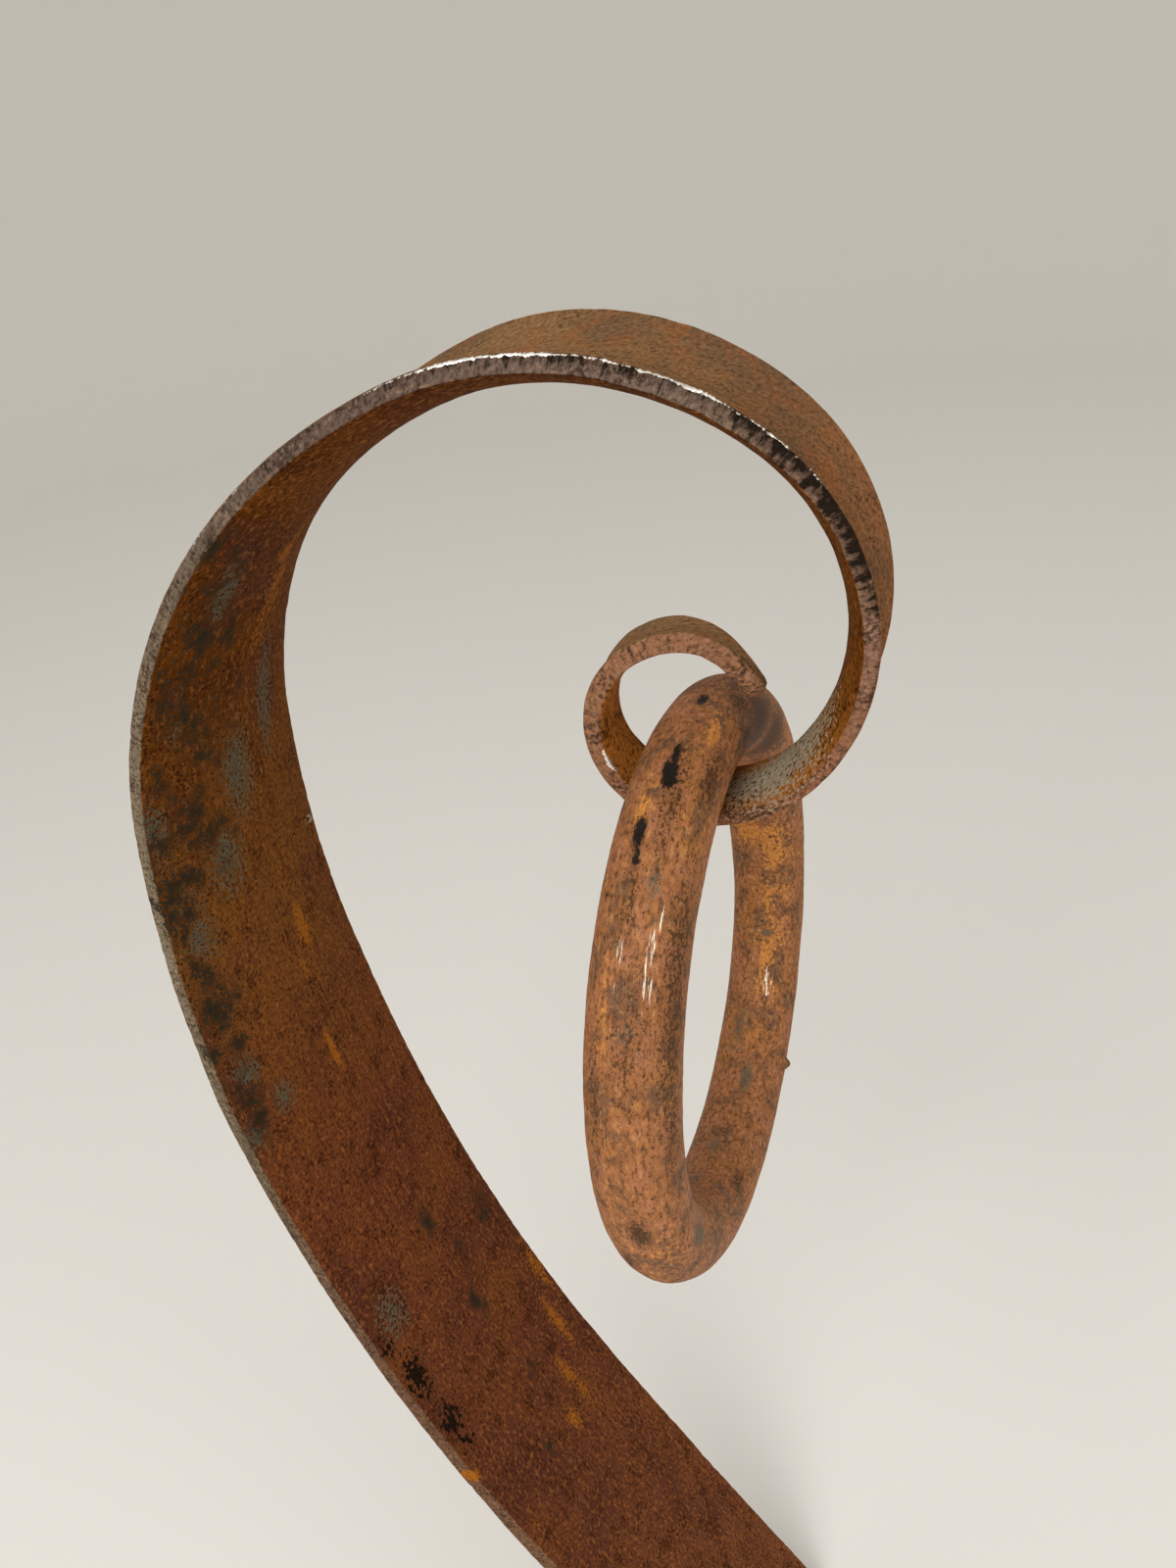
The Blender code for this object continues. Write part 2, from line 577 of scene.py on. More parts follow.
    def ground(self, tree: bpy.types.NodeTree, patterns: dict[Pattern, Socket]) -> Socket:
        """Colour the two faces and the cut edges.

        Args:
            tree: The material's node tree.
            patterns: The noise.

        Returns:
            The colour under the marks.
        """
        along, edge, outside = (
            add_node(tree, "ShaderNodeAttribute", {}, out="Fac", attribute_name=name)
            for name in ("along", "edge", "outside")
        )
        inner, outer, cut, charred = (
            add_node(tree, "ShaderNodeValToRGB", {"Fac": along}, stops=stops)
            for stops in (self.inner_tones_and_shade, self.outer_tones, self.edge_tones, self.char_tones)
        )
        inner = self.lay_coats(tree, patterns, inner, self.coats)
        outer = self.lay_coats(tree, patterns, outer, self.outer_coats)
        cut = self.lay_coats(tree, patterns, cut, self.edge_coats)
        face = add_node(tree, "ShaderNodeMix", {0: outside, MIX_A: inner, MIX_B: outer}, **COLOUR_MIX)
        burnt = patterns[Pattern.FLAME]
        for amount, weight in ((outside, self.char_outside), (charred, self.char_lift)):
            burnt = add_node(
                tree, "ShaderNodeMath", {0: amount, 1: weight, 2: burnt}, operation="MULTIPLY_ADD"
            )
        start, full = self.char_span
        burnt = add_node(tree, "ShaderNodeMapRange", {"Value": burnt, "From Min": start, "From Max": full})
        reach = add_node(
            tree, "ShaderNodeMath", {0: charred, 1: self.char_gain}, operation="MULTIPLY", use_clamp=True
        )
        burnt = add_node(tree, "ShaderNodeMath", {0: burnt, 1: reach}, operation="MULTIPLY")
        charcoal = {0: burnt, MIX_A: cut, MIX_B: linear(self.char)}
        cut = add_node(tree, "ShaderNodeMix", charcoal, **COLOUR_MIX)
        return add_node(tree, "ShaderNodeMix", {0: edge, MIX_A: face, MIX_B: cut}, **COLOUR_MIX)


@dataclass(frozen=True)
class BarRust(Rust):
    """Hot-rolled round bar, bent to a ring, welded, and weathered to a tan rust.

    The surface is a thin even rust, flecked dark where flakes have come away, with pits filled black, a few
    short glints where it has been rubbed bright, their pale colour a painted highlight, and a painted
    shadow where the strap's tip shades the ring.
    """

    name: str = "rusted_round_bar"
    speckles: tuple[Speckle, ...] = (
        Speckle(Pattern.GRAIN, 1.2, 0.9, detail=5.0, rough=0.75),
        Speckle(Pattern.FLECK, 2.2, 1.2, detail=5.0, rough=0.7, start=3.7),
        Speckle(Pattern.CLUSTER, 6.0, 6.0, detail=5.0, rough=0.65, solid=True),
        Speckle(Pattern.CLOUD, 17.0, 17.0, solid=True),
        Speckle(Pattern.STREAK, 6.0, 0.5),
    )
    coats: tuple[Coat, ...] = (
        Coat("#A86C2C", Pattern.CLOUD, 0.5, 0.66, 0.6),
        Coat("#9E6748", Pattern.CLUSTER, 0.49, 0.6, 0.75),
        Coat("#644836", Pattern.CLUSTER, 0.5, 0.37, 0.8),
        Coat("#C4945E", Pattern.FLECK, 0.54, 0.68, 0.5),
        Coat("#52331A", Pattern.FLECK, 0.47, 0.37, 0.7),
        Coat("#2E1C0E", Pattern.GRAIN, 0.44, 0.36, 0.7),
    )
    stains: tuple[Paint, ...] = (
        Paint(Stain.OCHRE_AND_REFLECTION, "#BA7A3A"),
        Paint(Stain.SCALE, "#66543F"),
        # Dark speckle, also used as painted shadow behind the strap's tip
        Paint(Stain.SOOT_AND_SHADE, "#482C12", Pattern.GRAIN, 0.1),
        Paint(Stain.CRUST, "#19120B"),
        Paint(Stain.WORN, "#A0886C"),
        # Pale polished metal, partly a painted highlight
        Paint(Stain.BARE_AND_HIGHLIGHT, "#DCCDB9", Pattern.STREAK),
    )
    matt: tuple[float, float] = (0.8, 0.5)
    sheen_level: float = 0.2
    tone: str = "#9A6238"

    def ground(self, tree: bpy.types.NodeTree, patterns: dict[Pattern, Socket]) -> Socket:
        """Colour the bar.

        Args:
            tree: The material's node tree.
            patterns: The noise.

        Returns:
            The colour under the marks.
        """
        return self.lay_coats(tree, patterns, linear(self.tone), self.coats)


@dataclass(frozen=True)
class Skin:
    """What the two pieces share: a mesh with a flat map, marks seen in the photograph, and a finish."""

    name: str
    node: str
    slot: str
    finish: Rust
    marks: tuple[Mark, ...]
    beads: tuple[Bead, ...]

    def sights(
        self, mesh: bpy.types.Mesh, camera: PhotoCamera, pixels: list[Pixel]
    ) -> list[tuple[Vector, Vector, int]]:
        """Find where lines of sight first meet the mesh.

        Args:
            mesh: The piece's mesh, in place.
            camera: The photograph's camera.
            pixels: The pixels to look through.

        Returns:
            For each pixel, the point, the surface's direction and the nearest vertex.
        """
        faces = [tuple(face.vertices) for face in mesh.polygons]
        tree = BVHTree.FromPolygons([vertex.co for vertex in mesh.vertices], faces)
        found = []
        for pixel in pixels:
            hit, normal, face, _ = tree.ray_cast(*camera.ray(pixel))
            if hit is None:
                raise ValueError(f"the line of sight at {pixel} misses {self.name}")
            distances = [(mesh.vertices[index].co - hit).length for index in faces[face]]
            found.append((hit, normal, faces[face][int(np.argmin(distances))]))
        return found

    def paint_marks(
        self, mesh: bpy.types.Mesh, camera: PhotoCamera, sheet: np.ndarray
    ) -> dict[str, np.ndarray]:
        """Spread each mark over the surface around the place where it is seen.

        Args:
            mesh: The piece's mesh, in place.
            camera: The photograph's camera.
            sheet: Each vertex's place on the flattened surface, in mm.

        Returns:
            For each stain's attribute, its strength at each vertex.
        """
        values = {stain.value: np.zeros(len(mesh.vertices)) for stain in Stain}
        seen = self.sights(mesh, camera, [mark.pixel for mark in self.marks])
        for mark, (_, _, vertex) in zip(self.marks, seen):
            offset = (sheet - sheet[vertex]) / np.array((mark.length, mark.width))
            spread = mark.strength * np.exp(-np.sum(offset**2, axis=1))
            values[mark.stain.value] = np.maximum(values[mark.stain.value], spread)
        return values

    def raise_beads(self, mesh: bpy.types.Mesh, camera: PhotoCamera) -> None:
        """Swell the mesh where beads stand on it.

        Args:
            mesh: The piece's mesh, in place.
            camera: The photograph's camera.
        """
        seen = self.sights(mesh, camera, [bead.pixel for bead in self.beads])
        co = read_points(mesh)
        for bead, (hit, normal, _) in zip(self.beads, seen):
            reach = np.linalg.norm(co - np.array(hit), axis=1) / (bead.radius * MM)
            dome = np.sqrt(np.clip(1.0 - reach**2, 0.0, 1.0))
            co += dome[:, None] * np.array(normal) * bead.height * MM
        mesh.vertices.foreach_set("co", co.astype(np.float32).ravel())

    def write_map(self, mesh: bpy.types.Mesh, sheet: np.ndarray) -> None:
        """Write the flattened surface, in metres, as the mesh's map.

        Args:
            mesh: The piece's mesh, of four-cornered faces.
            sheet: Each vertex's place on the flattened surface, in mm.
        """
        corners = np.zeros(len(mesh.loops), np.int32)
        mesh.loops.foreach_get("vertex_index", corners)
        laid = sheet[corners].reshape(-1, 4, 2)
        turn = sheet.max(axis=0) - sheet.min(axis=0)
        behind = laid.max(axis=1, keepdims=True) - laid > turn / 2.0
        laid = np.where(behind, laid + turn, laid)
        layer = mesh.uv_layers.new(name="sheet")
        layer.uv.foreach_set("vector", (laid * MM).astype(np.float32).ravel())

    def write_values(self, mesh: bpy.types.Mesh, values: dict[str, np.ndarray]) -> None:
        """Write numbers to the mesh's vertices.

        Args:
            mesh: The piece's mesh.
            values: For each attribute's name, one number for each vertex.
        """
        for name, numbers in values.items():
            layer = mesh.attributes.new(name, "FLOAT", "POINT")
            layer.data.foreach_set("value", numbers.astype(np.float32))

    def dress(self, mesh: bpy.types.Mesh) -> bpy.types.Object:
        """Make the piece's object, give it its finish and set it on the frame.

        Args:
            mesh: The finished mesh.

        Returns:
            The piece.
        """
        mesh.materials.append(self.finish.material())
        piece = bpy.data.objects.new(self.name, mesh)
        bpy.context.scene.collection.objects.link(piece)
        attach(piece, self.node)
        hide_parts(self.node)
        return piece


def read_points(mesh: bpy.types.Mesh) -> np.ndarray:
    """Read the places of a mesh's vertices.

    Args:
        mesh: The mesh.

    Returns:
        Points in metres, one row for each vertex.
    """
    co = np.zeros(len(mesh.vertices) * 3, np.float32)
    mesh.vertices.foreach_get("co", co)
    return co.reshape(-1, 3).astype(float)


@dataclass(frozen=True)
class Arc:
    """One arc of the strap's edge line, in mm and degrees, with the section at its start."""

    radius: float
    turn: float
    width: float
    thickness: float
    crown: float

    def length(self) -> float:
        """Return the arc's length."""
        return self.radius * math.radians(self.turn)


@dataclass(frozen=True)
class Nick:
    """A dent in the strap's near edge, where the photograph shows it, in mm."""

    pixel: Pixel
    depth: float
    length: float


@dataclass(frozen=True)
class Section:
    """The strap's section as points once round, from the middle of the far edge.

    Across runs from -1 to 1, side from -1 on the inner face to 1 on the outer, and edge is 1 on a cut edge.
    """

    across: np.ndarray
    side: np.ndarray
    edge: np.ndarray

    def lip(self) -> np.ndarray:
        """Return which points lie on an outer corner."""
        return (self.side >= 1.0) & (np.abs(self.across) >= 1.0)


@dataclass(frozen=True)
class StrapSkin(Skin):
    """The strap as it really is: wavy cut edges, burrs, nicks and uneven rust, in mm and degrees.

    A seed says where in the noise an unevenness starts, so that no two edges or faces are alike. The
    corners' seeds are for the near inner, near outer, far inner and far outer corner.
    """

    name: str = "strap_skin"
    node: str = "strap"
    slot: str = "rusted_strap"
    finish: Rust = PlateRust()

    # Arcs from the foot to the tip; the lean is from +X, and the cut foot starts a little lower
    lean: float = 122.8
    foot_overlap: float = 8.0
    arcs: tuple[Arc, ...] = (
        Arc(3000.0, 2.6, 72.0, 6.0, 0.0),
        Arc(525.0, 20.3, 72.0, 5.8, 0.0),
        Arc(303.0, 16.2, 71.0, 4.6, 3.6),
        Arc(112.5, 65.4, 64.0, 4.0, 5.0),
        Arc(68.5, 56.6, 48.0, 3.3, 5.0),
        Arc(48.0, 90.5, 35.0, 3.3, 4.6),
        Arc(33.9, 56.8, 23.0, 3.6, 3.4),
        Arc(18.9, 166.7, 18.0, 4.0, 0.8),
        Arc(13.7, 55.3, 10.5, 4.2, 0.4),
        Arc(47.0, 12.1, 6.0, 4.2, 0.2),
    )
    tip: Arc = Arc(47.0, 0.0, 3.6, 4.2, 0.2)

    # Tip: the length that is rounded, and the share of the section that is left at the end
    tip_round: float = 2.2
    tip_flat: float = 0.5

    # Fineness of the mesh; edge_rise, rim and middle are places in the section
    station_gap: float = 0.75
    face_columns: int = 27
    edge_rise: tuple[float, ...] = (-1.0, -0.84, -0.45, 0.0, 0.45, 0.84, 1.0)
    rim: tuple[float, ...] = (1.0, 0.988, 0.962)
    middle: float = 0.925

    # Worn and chipped corners
    corner: float = 0.25
    chip: float = 0.45
    chip_length: float = 2.4
    chip_floor: float = 0.1
    corner_seeds: tuple[float, ...] = (36.0, 38.0, 42.0, 44.0)

    # Waves of the cut edges
    wave: float = 0.28
    wave_length: float = 18.0
    ripple: float = 0.14
    ripple_length: float = 3.6
    ripple_seed: float = 5.0
    edge_loss: float = 0.08
    edge_power: int = 12
    near_seed: float = 1.0
    far_seed: float = 31.0

    # Burr on the outer corners; a span is its start and end along the strap, from 0 to 1, and its level.
    # The same spans lay the pale bare-metal line on the corner, which is partly a painted highlight
    burr: float = 0.35
    burr_length: float = 4.0
    burr_level: float = 0.85
    burr_ragged: float = 0.4
    burr_seed: float = 77.0
    burr_spans: tuple[tuple[float, float, float], ...] = ((0.5, 0.67, 0.25), (0.66, 0.79, 1.0))
    burr_fade: float = 0.03
    burr_glint: float = 0.85

    # Unevenness of the faces
    relief: float = 0.09
    relief_size: float = 4.5
    face_seed: float = 9.0
    sharp_angle: float = 35.0

    # What the photograph shows on the strap
    nicks: tuple[Nick, ...] = (
        Nick((585, 365), 0.7, 2.0),
        Nick((610, 372), 0.9, 1.6),
        Nick((720, 410), 0.8, 2.2),
        Nick((868, 545), 0.5, 1.5),
    )
    beads: tuple[Bead, ...] = (Bead((313, 834), 1.7, 1.8),)
    marks: tuple[Mark, ...] = (
        Mark(Stain.SOOT_AND_SHADE, (195, 735), 34.0, 15.0, 0.46),
        Mark(Stain.SOOT_AND_SHADE, (215, 620), 26.0, 13.0, 0.36),
        Mark(Stain.SOOT_AND_SHADE, (195, 840), 22.0, 13.0, 0.46),
        Mark(Stain.SOOT_AND_SHADE, (180, 920), 20.0, 9.0, 0.5),
        Mark(Stain.SOOT_AND_SHADE, (215, 1030), 22.0, 8.0, 0.5),
        Mark(Stain.SOOT_AND_SHADE, (250, 1120), 16.0, 6.0, 0.5),
        Mark(Stain.SCALE, (240, 785), 12.0, 5.5, 0.75),
        Mark(Stain.SCALE, (232, 875), 9.0, 5.5, 0.7),
        Mark(Stain.SCALE, (188, 925), 9.0, 6.0, 0.6),
        Mark(Stain.SCALE, (202, 958), 7.0, 5.0, 0.7),
        Mark(Stain.SCALE, (230, 605), 10.0, 4.0, 0.7),
        Mark(Stain.SCALE, (268, 710), 16.0, 4.0, 0.6),
        Mark(Stain.SCALE, (249, 1099), 5.0, 4.0, 0.8),
        Mark(Stain.SCALE, (289, 1120), 4.0, 3.0, 0.8),
        Mark(Stain.SCALE, (261, 1159), 4.0, 4.0, 0.8),
        Mark(Stain.SCALE, (402, 1337), 7.0, 5.0, 0.55),
        Mark(Stain.SCALE, (158, 855), 8.0, 3.0, 0.8),
        Mark(Stain.SCALE, (182, 735), 8.0, 3.0, 0.5),
        Mark(Stain.OCHRE_AND_REFLECTION, (158, 740), 24.0, 3.0, 0.42),
        # Partly a painted reflection: warm light on the far side of the upper leg, over an ochre streak
        Mark(Stain.OCHRE_AND_REFLECTION, (282, 590), 38.0, 9.0, 0.48),
        Mark(Stain.OCHRE_AND_REFLECTION, (308, 945), 11.0, 3.0, 0.82),
        Mark(Stain.OCHRE_AND_REFLECTION, (313, 990), 12.0, 2.6, 0.56),
        Mark(Stain.OCHRE_AND_REFLECTION, (342, 1068), 10.0, 2.6, 0.82),
        Mark(Stain.OCHRE_AND_REFLECTION, (545, 1292), 20.0, 4.0, 0.54),
        Mark(Stain.OCHRE_AND_REFLECTION, (566, 1345), 22.0, 4.0, 0.58),
        Mark(Stain.OCHRE_AND_REFLECTION, (584, 1400), 20.0, 4.0, 0.56),
        Mark(Stain.OCHRE_AND_REFLECTION, (588, 1445), 8.0, 4.0, 0.64),
        Mark(Stain.OCHRE_AND_REFLECTION, (479, 1506), 2.6, 3.0, 1.4),
        Mark(Stain.CRUST, (424, 1408), 7.0, 4.0),
        Mark(Stain.CRUST, (460, 1450), 6.0, 4.0, 0.9),
        Mark(Stain.CRUST, (476, 1475), 4.0, 3.0, 0.6),
        Mark(Stain.CRUST, (395, 1375), 4.0, 2.5, 0.7),
        Mark(Stain.SOOT_AND_SHADE, (490, 1222), 8.0, 4.0, 0.7),
        Mark(Stain.SOOT_AND_SHADE, (435, 1243), 5.0, 3.0, 0.6),
        Mark(Stain.SOOT_AND_SHADE, (470, 1284), 6.0, 3.0, 0.45),
        Mark(Stain.SOOT_AND_SHADE, (488, 1328), 6.0, 3.0, 0.55),
        Mark(Stain.SOOT_AND_SHADE, (545, 1400), 4.0, 3.0, 0.6),
        Mark(Stain.SOOT_AND_SHADE, (561, 1474), 4.0, 3.0, 0.5),
        Mark(Stain.SOOT_AND_SHADE, (217, 999), 6.0, 4.0, 0.7),
        Mark(Stain.SOOT_AND_SHADE, (223, 1040), 7.0, 4.0, 0.8),
        Mark(Stain.WORN, (765, 798), 9.0, 7.0, 0.85),
        Mark(Stain.WORN, (795, 782), 11.0, 9.0, 0.95),
        Mark(Stain.WORN, (822, 757), 10.0, 8.0, 0.85),
        Mark(Stain.WORN, (842, 732), 8.0, 6.0, 0.5),
        Mark(Stain.OCHRE_AND_REFLECTION, (775, 815), 6.0, 1.6, 1.0),
        Mark(Stain.OCHRE_AND_REFLECTION, (803, 802), 6.0, 1.6, 1.0),
        Mark(Stain.OCHRE_AND_REFLECTION, (830, 777), 6.0, 1.2, 0.8),
        Mark(Stain.WORN, (313, 834), 1.4, 1.4, 1.2),
        Mark(Stain.BARE_AND_HIGHLIGHT, (622, 778), 3.0, 0.6),
    )

    def total(self) -> float:
        """Return the strap's length along its edge line."""
        return sum(arc.length() for arc in self.arcs)

    def line(self, distances: np.ndarray) -> tuple[np.ndarray, np.ndarray, np.ndarray]:
        """Follow the edge line.

        Args:
            distances: Distances from the foot.

        Returns:
            x, z and the heading in radians at each distance.
        """
        x = np.zeros_like(distances)
        z = np.zeros_like(distances)
        heading = np.full_like(distances, math.radians(self.lean))
        start = 0.0
        for arc in self.arcs:
            lowest = -self.foot_overlap if start == 0.0 else 0.0
            turn = np.clip(distances - start, lowest, arc.length()) / arc.radius
            x += arc.radius * (np.sin(heading) - np.sin(heading - turn))
            z += arc.radius * (np.cos(heading - turn) - np.cos(heading))
            heading = heading - turn
            start += arc.length()
        return x, z, heading

    def sizes(self, distances: np.ndarray) -> tuple[np.ndarray, np.ndarray, np.ndarray]:
        """Find the section's sizes.

        Args:
            distances: Distances from the foot.

        Returns:
            Width, thickness and crown at each distance, as columns.
        """
        starts = np.concatenate(([0.0], np.cumsum([arc.length() for arc in self.arcs])))
        rows = self.arcs + (self.tip,)
        width = np.interp(distances, starts, [row.width for row in rows])
        thickness = np.interp(distances, starts, [row.thickness for row in rows])
        crown = np.interp(distances, starts, [row.crown for row in rows])
        return width[:, None], thickness[:, None], crown[:, None]

    def section(self) -> Section:
        """List the section's points once round.

        Returns:
            The points, with the first and last at the same place.
        """
        columns = np.linspace(self.middle, -self.middle, self.face_columns)
        face = np.concatenate((self.rim, columns, -np.array(self.rim[::-1])))
        rise = np.array(self.edge_rise)
        half = rise[rise >= 0.0]
        far = np.ones(len(half))
        near = np.ones(len(rise))
        flat = np.ones(len(face))
        return Section(
            across=np.concatenate((far, face, -near, -face, far)),
            side=np.concatenate((-half, -flat, rise, flat, half[::-1])),
            edge=np.concatenate((far, 0.0 * flat, near, 0.0 * flat, far)),
        )

    def noise_along(self, distances: np.ndarray, length: float, seed: float) -> np.ndarray:
        """Return smooth noise along the strap, with waves of about the given length."""
        return np.array([wobble(distance / length, seed) for distance in distances])

    def edge_shift(self, distances: np.ndarray, seed: float) -> np.ndarray:
        """Find how far a cut edge wanders outwards.

        Args:
            distances: Distances from the foot.
            seed: A number that tells one edge from the other.

        Returns:
            The shift in mm at each distance.
        """
        slow = self.noise_along(distances, self.wave_length, seed)
        quick = self.noise_along(distances, self.ripple_length, seed + self.ripple_seed)
        return self.wave * slow + self.ripple * quick - self.edge_loss

    def corner_sizes(self, distances: np.ndarray, section: Section) -> np.ndarray:
        """Find how much of each corner is worn or chipped away.

        Args:
            distances: Distances from the foot.
            section: The section's points.

        Returns:
            The corner's size in mm at each station and point.
        """
        sizes = np.zeros((len(distances), len(section.across)))
        for seed, (across, side) in zip(self.corner_seeds, product((-1.0, 1.0), repeat=2)):
            chips = self.noise_along(distances, self.chip_length, seed)
            worn = self.corner + self.chip * np.clip(chips - self.chip_floor, 0.0, 1.0)
            here = (np.sign(section.across) == across) & (np.sign(section.side) == side)
            sizes[:, here] = worn[:, None]
        return sizes

    def burr_strength(self, distances: np.ndarray) -> np.ndarray:
        """Find how much burr the outer corner carries.

        Args:
            distances: Distances from the foot.

        Returns:
            A strength from 0 to 1 at each distance.
        """
        place = distances / self.total()
        strength = np.zeros_like(place)
        for start, end, level in self.burr_spans:
            inside = np.clip((place - start) / self.burr_fade, 0.0, 1.0)
            inside *= np.clip((end - place) / self.burr_fade, 0.0, 1.0)
            strength = np.maximum(strength, level * inside)
        uneven = self.noise_along(distances, self.burr_length, self.burr_seed)
        return strength * np.clip(self.burr_level + self.burr_ragged * uneven, 0.0, 1.0)

    def tip_share(self, distances: np.ndarray) -> np.ndarray:
        """Find how much of the section is left where the tip is rounded.

        Args:
            distances: Distances from the foot.

        Returns:
            A share of the full section at each distance, as a column.
        """
        past = np.clip(1.0 + (distances - self.total()) / self.tip_round, 0.0, 1.0)
        return (self.tip_flat + (1.0 - self.tip_flat) * np.sqrt(1.0 - past**2))[:, None]

    def points(
        self, distances: np.ndarray, section: Section, nicks: list[tuple[float, Nick]]
    ) -> np.ndarray:
        """Bend the flat sheet into the scroll.

        Args:
            distances: Distances along the strap.
            section: The section's points.
            nicks: Each nick with its distance along the strap.

        Returns:
            Points in mm, by station and place in the section.
        """
        x, z, heading = self.line(distances)
        width, thickness, crown = self.sizes(distances)
        near = self.edge_shift(distances, self.near_seed)
        for distance, nick in nicks:
            near -= nick.depth * np.exp(-(((distances - distance) / nick.length) ** 2))
        far = self.edge_shift(distances, self.far_seed)
        shift = np.where(section.across < 0.0, near[:, None], far[:, None])
        shift = np.sign(section.across) * shift * np.abs(section.across) ** self.edge_power
        corners = self.corner_sizes(distances, section)
        left = self.tip_share(distances)
        face = 1.0 - section.edge
        y = (section.across * (width / 2.0 - corners * face) + shift) * left
        lift = section.side * (thickness / 2.0 - corners * section.edge) * left
        lift = lift + self.burr * self.burr_strength(distances)[:, None] * section.lip()
        lift = lift + section.side * face * self.unevenness(distances, y, section)

        # The crown is a parabola across the width, and thickness goes along its normal
        slope = -4.0 * crown / width * section.across
        stretch = np.sqrt(1.0 + slope**2)
        out = -crown * (1.0 - section.across**2) + lift / stretch
        y = y + lift * slope / stretch
        turn = heading[:, None]
        return np.stack((x[:, None] - np.sin(turn) * out, y, z[:, None] + np.cos(turn) * out), axis=2)

    def unevenness(self, distances: np.ndarray, y: np.ndarray, section: Section) -> np.ndarray:
        """Find how uneven the faces are.

        Args:
            distances: Distances along the strap.
            y: Place across in mm, by station and point.
            section: The section's points.

        Returns:
            Heights in mm, by station and point.
        """
        heights = np.zeros_like(y)
        for row, distance in enumerate(distances):
            for column, side in enumerate(section.side):
                place = y[row, column] / self.relief_size
                heights[row, column] = wobble(distance / self.relief_size, place, self.face_seed * side)
        return self.relief * heights

    def nick_distances(
        self, camera: PhotoCamera, points: np.ndarray, distances: np.ndarray, section: Section
    ) -> list[tuple[float, Nick]]:
        """Find where along the near edge each nick lies.

        Args:
            camera: The photograph's camera.
            points: The strap's points in mm.
            distances: The stations' distances.
            section: The section's points.

        Returns:
            A distance and its nick, for each nick.
        """
        near_edge = np.flatnonzero((section.edge > 0.0) & (section.across < 0.0))
        middle = points[:, near_edge[len(near_edge) // 2], :] * MM
        found = []
        for nick in self.nicks:
            start, direction = camera.ray(nick.pixel)
            offset = middle - np.array(start)
            ahead = offset @ np.array(direction)
            miss = np.linalg.norm(offset - ahead[:, None] * np.array(direction), axis=1)
            found.append((float(distances[np.argmin(miss)]), nick))
        return found

    def build(self, camera: PhotoCamera) -> bpy.types.Object:
        """Make the strap's mesh, paint its marks and dress it.

        Args:
            camera: The photograph's camera, which places the marks and nicks.

        Returns:
            The finished piece.
        """
        count = round((self.total() + self.foot_overlap) / self.station_gap)
        distances = np.linspace(-self.foot_overlap, self.total(), count + 1)
        section = self.section()
        columns = len(section.across) - 1
        bm = bmesh.new()
        bmesh.ops.create_grid(bm, x_segments=count, y_segments=columns, size=1.0)
        mesh = bpy.data.meshes.new(self.name)
        bm.to_mesh(mesh)
        bm.free()
        flat = read_points(mesh)
        half = flat[:, 0].max()
        row = np.rint((flat[:, 0] / half + 1.0) / 2.0 * count).astype(int)
        column = np.rint((flat[:, 1] / half + 1.0) / 2.0 * columns).astype(int)

        nicks = self.nick_distances(camera, self.points(distances, section, []), distances, section)
        points = self.points(distances, section, nicks)
        mesh.vertices.foreach_set("co", (points[row, column] * MM).astype(np.float32).ravel())
        mesh.update()
        steps = np.linalg.norm(np.diff(points, axis=1), axis=2)
        girth = np.concatenate((np.zeros((count + 1, 1)), np.cumsum(steps, axis=1)), axis=1)
        sheet = np.stack((distances[row], girth[row, column]), axis=1)
        values = self.paint_marks(mesh, camera, sheet)
        values["along"] = np.clip(distances[row] / self.total(), 0.0, 1.0)
        values["edge"] = section.edge[column]
        values["outside"] = (section.side[column] + 1.0) / 2.0
        # The burr's corner points get pale bare metal, partly a painted highlight along the edge
        lip = section.lip() & (section.edge > 0.0)
        glint = self.burr_glint * self.burr_strength(distances)[row] * lip[column]
        values[Stain.BARE_AND_HIGHLIGHT.value] = np.maximum(values[Stain.BARE_AND_HIGHLIGHT.value], glint)
        self.raise_beads(mesh, camera)
        self.write_map(mesh, sheet)
        self.write_values(mesh, values)
        self.close(mesh)
        return self.dress(mesh)

    def close(self, mesh: bpy.types.Mesh) -> None:
        """Weld the seam, cut the foot level and close the two ends.

        Args:
            mesh: The bent sheet.
        """
        bm = bmesh.new()
        bm.from_mesh(mesh)
        bmesh.ops.remove_doubles(bm, verts=bm.verts, dist=WELD)
        bmesh.ops.bisect_plane(
            bm,
            geom=bm.verts[:] + bm.edges[:] + bm.faces[:],
            plane_co=(0.0, 0.0, 0.0),
            plane_no=(0.0, 0.0, 1.0),
            clear_inner=True,
        )
        bmesh.ops.holes_fill(bm, edges=[edge for edge in bm.edges if edge.is_boundary], sides=0)
        bmesh.ops.recalc_face_normals(bm, faces=bm.faces)
        bm.to_mesh(mesh)
        bm.free()
        mesh.shade_smooth()
        mesh.set_sharp_from_angle(angle=math.radians(self.sharp_angle))


